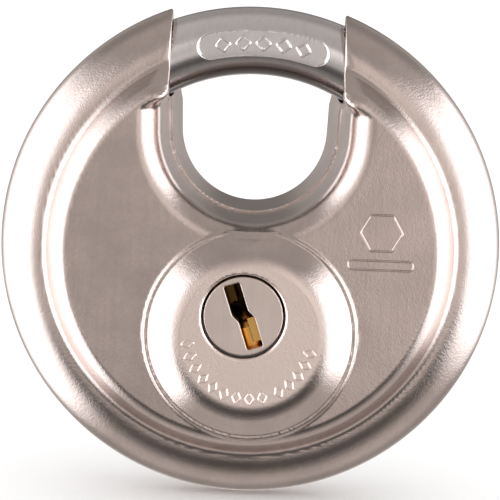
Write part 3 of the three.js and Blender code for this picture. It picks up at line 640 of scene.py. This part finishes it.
class Tree:
    """A node tree being written: each call adds a node and gives back its output."""

    def __init__(self, tree):
        self.tree = tree

    def node(self, kind, **settings):
        made = self.tree.nodes.new(kind)
        for key, value in settings.items():
            setattr(made, key, value)
        return made

    def link(self, source, target):
        if isinstance(source, (int, float)):
            target.default_value = source
        elif isinstance(source, tuple):
            target.default_value = (*source, 1) if len(target.default_value) == 4 else source
        else:
            self.tree.links.new(source, target)

    def math(self, operation, *values):
        made = self.node("ShaderNodeMath", operation=operation)
        for socket, value in zip(made.inputs, values):
            self.link(value, socket)
        return made.outputs[0]

    def product(self, first, *others):
        for value in others:
            first = self.math("MULTIPLY", first, value)
        return first

    def step(self, value, low, high, start=0.0, end=1.0):
        """A smooth step of a value from start at low to end at high."""
        made = self.node("ShaderNodeMapRange", interpolation_type="SMOOTHSTEP")
        for socket, source in zip(made.inputs, (value, low, high, start, end)):
            self.link(source, socket)
        return made.outputs[0]

    def mix(self, share, a, b):
        made = self.node("ShaderNodeMix", data_type="RGBA")
        self.link(share, made.inputs["Factor"])
        self.link(a, made.inputs[6])
        self.link(b, made.inputs[7])
        return made.outputs[2]

    def noise(self, coordinates, scale, detail=3.0, roughness=0.5):
        made = self.node("ShaderNodeTexNoise")
        self.link(coordinates, made.inputs["Vector"])
        made.inputs["Scale"].default_value = scale
        made.inputs["Detail"].default_value = detail
        made.inputs["Roughness"].default_value = roughness
        return made.outputs["Fac"]


CLOUD_SCALE, STREAK_SCALE, PIT_SCALE = 130, 1600, 2200      # noise cells to the metre
STREAK_STRETCH = (1, 1, 0.05)
GRAIN_RELIEF = 0.02 * MM
PIT_SHARE = 0.7                 # relief of the pits against the grain's
DEEP, RUBBED, PATCH_PAINTED_LIGHT, SHADED = 0.8, 1.25, 1.42, 0.12      # brightness against the plain colour; the third is painted light, the last painted shade
CLOUD_GLOSS, GRAIN_GLOSS, PATCH_GLOSS = 0.12, 0.1, 0.07    # how far each one moves the roughness
PATCH_EDGE = (0.96, 1.12)       # where the patch of painted light fades out, in its radius
INNER_PAINTED_SHADE = (0.5, 4.2, 0.85)   # painted shade: from and to, mm out from the bar's inner side, and how much
KEYWAY_PAINTED_SHADE = (1.4, 4)          # painted shade in the keyway: from and to, mm behind the plug's face


def tinted(colour, share):
    """A colour made brighter or darker."""
    return tuple(min(1, channel * share) for channel in colour)


def metal(name, colour, roughness, grain=0.08, mottle=0.06, wear=0.12, grain_scale=9000,
          painted_light_spot=None, shade=None):
    """A satin metal: grain, pits and streaks, cloudy colour and gloss, paler rubbed edges, and
    where asked a patch of painted light and painted shade.
    """
    found = bpy.data.materials.get(name)
    if found:
        return found
    material = bpy.data.materials.new(name)
    material.use_nodes = True
    tree = Tree(material.node_tree)
    shader = material.node_tree.nodes["Principled BSDF"]
    place = tree.node("ShaderNodeTexCoord").outputs["Object"]
    clouds = tree.noise(place, CLOUD_SCALE, 4, 0.55)
    fine = tree.noise(place, grain_scale, 2, 0.6)
    stretch = tree.node("ShaderNodeMapping")
    tree.link(place, stretch.inputs["Vector"])
    stretch.inputs["Scale"].default_value = STREAK_STRETCH
    streaks = tree.noise(stretch.outputs[0], STREAK_SCALE, 2, 0.6)
    pits = tree.noise(place, PIT_SCALE, 2, 0.5)
    deep = tinted(colour, DEEP)
    tone = tree.mix(tree.step(clouds, 0.3, 0.7), tinted(colour, 1 - mottle), colour)
    tone = tree.mix(tree.step(streaks, 0.4, 0.75, 0, 0.3), tone, deep)
    tone = tree.mix(tree.step(fine, 0.35, 0.75, 0, 0.35), tone, deep)
    edges = tree.node("ShaderNodeNewGeometry").outputs["Pointiness"]
    worn = tree.step(edges, 0.53, 0.6, 0, wear)
    tone = tree.mix(worn, tone, tinted(colour, RUBBED))
    # A patch of painted light, where one is asked for.
    patch = painted_light_patch(tree, place, *painted_light_spot) if painted_light_spot else 0.0
    tone = tree.mix(patch, tone, tinted(colour, PATCH_PAINTED_LIGHT))
    # Painted shade, where it is asked for.
    if shade:
        tone = tree.mix(shade(tree, place), tone, tinted(colour, SHADED))
    tree.link(tone, shader.inputs["Base Color"])
    gloss = tree.math("MULTIPLY_ADD", tree.math("SUBTRACT", clouds, 0.5), CLOUD_GLOSS, roughness)
    gloss = tree.math("MULTIPLY_ADD", tree.math("SUBTRACT", fine, 0.5), GRAIN_GLOSS, gloss)
    gloss = tree.math("MULTIPLY_ADD", patch, PATCH_GLOSS, gloss)
    tree.link(gloss, shader.inputs["Roughness"])
    shader.inputs["Metallic"].default_value = 1
    bump = tree.node("ShaderNodeBump")
    bump.inputs["Strength"].default_value = grain
    bump.inputs["Distance"].default_value = GRAIN_RELIEF
    tree.link(tree.math("MULTIPLY_ADD", pits, PIT_SHARE, fine), bump.inputs["Height"])
    tree.link(bump.outputs["Normal"], shader.inputs["Normal"])
    return material


def painted_light_patch(tree, place, middle, radius):
    """How much a spot belongs to the patch around a point that gets painted light in its colour and
    a rougher finish.
    """
    apart = tree.node("ShaderNodeVectorMath", operation="DISTANCE")
    tree.link(place, apart.inputs[0])
    apart.inputs[1].default_value = middle
    near, far = PATCH_EDGE
    return tree.step(apart.outputs["Value"], radius * near, radius * far, 1, 0)


def painted_inner_shade(tree, place):
    """Painted shade on the side of the bar towards the disc's axis, fading out away from it."""
    flat = tree.node("ShaderNodeMapping")
    tree.link(place, flat.inputs["Vector"])
    flat.inputs["Location"].default_value = (0, 0, -DISC_CENTRE[2] * MM)
    flat.inputs["Scale"].default_value = (1, 0, 1)
    rho = tree.node("ShaderNodeVectorMath", operation="LENGTH")
    tree.link(flat.outputs[0], rho.inputs[0])
    inner = (RIM_CENTRE_RADIUS - SHACKLE_RADIUS) * MM
    start, end, share = INNER_PAINTED_SHADE
    return tree.step(rho.outputs["Value"], inner + start * MM, inner + end * MM, share, 0)


def painted_keyway_shade(tree, place):
    """How deep a spot lies in the keyway, where painted shade darkens the brass."""
    axes = tree.node("ShaderNodeSeparateXYZ")
    tree.link(place, axes.inputs[0])
    start, end = KEYWAY_PAINTED_SHADE
    return tree.step(axes.outputs[1], (PLUG_FRONT + start) * MM, (PLUG_FRONT + end) * MM)


BRASS = (0.85, 0.52, 0.17)
BOSS_PAINTED_LIGHT_RADIUS = 9.7


def stainless_finish():
    boss = tuple((np.array((BOSS_X, -BOSS_DEPTH, BOSS_Z)) + DISC_CENTRE) * MM)
    # The boss top gets a patch of painted light.
    return metal("satin_stainless", (0.70, 0.60, 0.56), 0.19, grain=1.0, mottle=0.14,
                 grain_scale=5000, painted_light_spot=(boss, BOSS_PAINTED_LIGHT_RADIUS * MM))


def hardened_finish():
    # The side of the bar towards the disc's axis gets painted shade.
    return metal("satin_hardened_steel", (0.92, 0.88, 0.88), 0.15, grain=0.4, shade=painted_inner_shade)


def nickel_finish():
    return metal("turned_nickel", (0.84, 0.73, 0.67), 0.34, grain=0.5)


def zinc_finish():
    return metal("cast_zinc", (0.42, 0.42, 0.43), 0.5, grain=0.9, mottle=0.15, grain_scale=3000)


def brass_finish():
    return metal("turned_brass", BRASS, 0.3, grain=0.4, mottle=0.2)


def keyway_finish():
    # Painted shade darkens the brass deeper in the keyway.
    return metal("keyway_brass", BRASS, 0.34, grain=0.4, mottle=0.25, shade=painted_keyway_shade)


def spring_finish():
    return metal("spring_steel", (0.5, 0.5, 0.52), 0.3, grain=0.3)


SLOT_FINISHES = {
    "stainless_shell": stainless_finish,
    "hardened_steel": hardened_finish,
    "nickel_plug": nickel_finish,
    "cast_zinc": zinc_finish,
    "brass": brass_finish,
    "spring_steel": spring_finish,
}


def finish_piece(piece, body, node, slot):
    """Gives a new piece its body and its material, and hides the node it stands for."""
    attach(piece, body)
    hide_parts(node)
    piece.data.materials.append(SLOT_FINISHES[slot]())


def finish_cad_nodes():
    """Materials of the nodes that are shown as they come from the frame."""
    slots = {entry["node"]: entry["material_slot"] for entry in frame["record"]["subparts"]}
    for name, node in frame["nodes"].items():
        node.data.materials.clear()
        node.data.materials.append(SLOT_FINISHES[slots[name]]())


# ---- Studio ----------------------------------------------------------------------------------

def light_ramp(tree, value, stops):
    """Brightness by a value from -1 to 1, from (value, brightness) stops."""
    ramp = tree.node("ShaderNodeValToRGB")
    ramp.color_ramp.interpolation = "EASE"
    elements = ramp.color_ramp.elements
    while len(elements) < len(stops):
        elements.new(0.5)
    for element, (at, bright) in zip(elements, stops):
        element.position = (at + 1) / 2
        element.color = (bright, bright, bright, 1)
    tree.link(tree.math("MULTIPLY_ADD", value, 0.5, 0.5), ramp.inputs[0])
    return ramp.outputs[0]


# Room brightness by how far a direction points away from the camera, under and over the horizon.
ROOM_BELOW = [(-1, 0.47), (-0.95, 0.42), (-0.83, 0.12), (-0.7, 0.1), (-0.52, 0.25),
              (-0.25, 0.54), (0.13, 0.6), (0.46, 0.4), (0.74, 0.34), (0.9, 0.85)]
ROOM_ABOVE = [(-1, 0.47), (-0.7, 0.42), (0, 0.46), (0.5, 0.3), (0.8, 0.32), (0.93, 0.2)]
GLOW = (1.5, 1.48, 1.46)        # near the camera
BOX_LIGHT = (2.4, 2.4, 2.45)
BEHIND = (0.46, 0.46, 0.46)
WARMTH = (1.0, 0.94, 0.9)       # of the room, not of the boxes
PLAIN_STRENGTH = 1.3            # of the even light that falls on the floor


def build_studio():
    """World light: a mid-grey room with a tall white light box on either side."""
    world = bpy.data.worlds.new("studio")
    bpy.context.scene.world = world
    world.use_nodes = True
    world.node_tree.nodes.clear()
    tree = Tree(world.node_tree)
    direction = tree.node("ShaderNodeSeparateXYZ")
    tree.link(tree.node("ShaderNodeTexCoord").outputs["Generated"], direction.inputs[0])
    right, away, up = direction.outputs

    below = light_ramp(tree, away, ROOM_BELOW)
    above = light_ramp(tree, away, ROOM_ABOVE)
    room = tree.mix(tree.step(up, -0.16, -0.06), below, above)
    front = tree.product(tree.step(away, -0.93, -0.8, 1, 0), tree.step(up, -0.4, -0.2))
    glow = tree.math("ADD", tree.step(right, 0.0, 0.14, 0, 0.45),
                     tree.step(right, -0.3, -0.08, 0.4, 0))
    room = tree.mix(tree.product(glow, front), room, GLOW)

    sideways = tree.math("ABSOLUTE", right)
    turn = tree.math("DIVIDE", up, tree.math("MAXIMUM", sideways, 0.02))
    right_box = tree.product(tree.step(right, 0.35, 0.7),
                             tree.step(turn, -0.8, -0.45), tree.step(turn, 0.6, 0.82, 1, 0))
    left_box = tree.product(tree.step(right, -0.7, -0.35, 1, 0),
                            tree.step(turn, -1.45, -1.0), tree.step(turn, 0.45, 0.95, 1, 0))
    boxes = tree.product(tree.math("ADD", right_box, left_box),
                         tree.step(away, 0.55, 0.85, 1, 0.22))
    behind = tree.product(tree.step(sideways, 0.15, 0.32), tree.step(away, 0.7, 0.9))
    room = tree.mix(behind, room, BEHIND)
    tint = tree.node("ShaderNodeMix", data_type="RGBA", blend_type="MULTIPLY")
    tint.inputs["Factor"].default_value = 1
    tree.link(room, tint.inputs[6])
    tree.link(WARMTH, tint.inputs[7])
    seen = tree.mix(boxes, tint.outputs[2], BOX_LIGHT)

    reflected = tree.node("ShaderNodeBackground")
    tree.link(seen, reflected.inputs["Color"])
    plain = tree.node("ShaderNodeBackground")
    plain.inputs["Color"].default_value = (1, 1, 1, 1)
    plain.inputs["Strength"].default_value = PLAIN_STRENGTH
    rays = tree.node("ShaderNodeLightPath")
    chosen = tree.node("ShaderNodeMixShader")
    tree.link(rays.outputs["Is Glossy Ray"], chosen.inputs[0])
    tree.link(plain.outputs[0], chosen.inputs[1])
    tree.link(reflected.outputs[0], chosen.inputs[2])
    output = tree.node("ShaderNodeOutputWorld")
    tree.link(chosen.outputs[0], output.inputs["Surface"])


FLOOR_REACH, FLOOR_GAP = 6, 0.0002      # metres


def build_floor():
    """A plain pale floor just under the rim. The metal doesn't mirror it."""
    height = CAD_BOX[0][2] - FLOOR_GAP
    corners = ((-1, -1), (1, -1), (1, 1), (-1, 1))
    mesh = bpy.data.meshes.new("floor")
    points = [(FLOOR_REACH * a, FLOOR_REACH * b, height) for a, b in corners]
    mesh.from_pydata(points, [], [(0, 1, 2, 3)])
    floor = bpy.data.objects.new("floor", mesh)
    bpy.context.scene.collection.objects.link(floor)
    material = bpy.data.materials.new("pale_floor")
    material.use_nodes = True
    shader = material.node_tree.nodes["Principled BSDF"]
    shader.inputs["Base Color"].default_value = (0.88, 0.88, 0.88, 1)
    shader.inputs["Roughness"].default_value = 0.9
    shader.inputs["Specular IOR Level"].default_value = 0
    mesh.materials.append(material)
    floor.visible_glossy = False


CAMERA_ELEVATION = math.radians(7.5)
CAMERA_ROLL = math.radians(2.3)
CAMERA_DISTANCE = 0.55
FRAME_WIDTH = 0.0703            # width of the view at the lock, metres


def build_camera():
    data = bpy.data.cameras.new("camera")
    data.sensor_width = 36
    data.lens = data.sensor_width * CAMERA_DISTANCE / FRAME_WIDTH
    data.clip_start = 0.01
    camera = bpy.data.objects.new("camera", data)
    bpy.context.scene.collection.objects.link(camera)
    camera.location = (0, -CAMERA_DISTANCE * math.cos(CAMERA_ELEVATION),
                       CAMERA_DISTANCE * math.sin(CAMERA_ELEVATION))
    look = (-camera.location).to_track_quat("-Z", "Y").to_matrix().to_4x4()
    roll = Matrix.Rotation(CAMERA_ROLL, 4, "Z")
    camera.rotation_euler = (look @ roll).to_euler()
    bpy.context.scene.camera = camera


build_shells()
build_shackle()
build_plug()
build_key_pins()
build_marks()
finish_cad_nodes()
build_studio()
build_floor()
build_camera()
bpy.context.scene.view_settings.view_transform = "Standard"
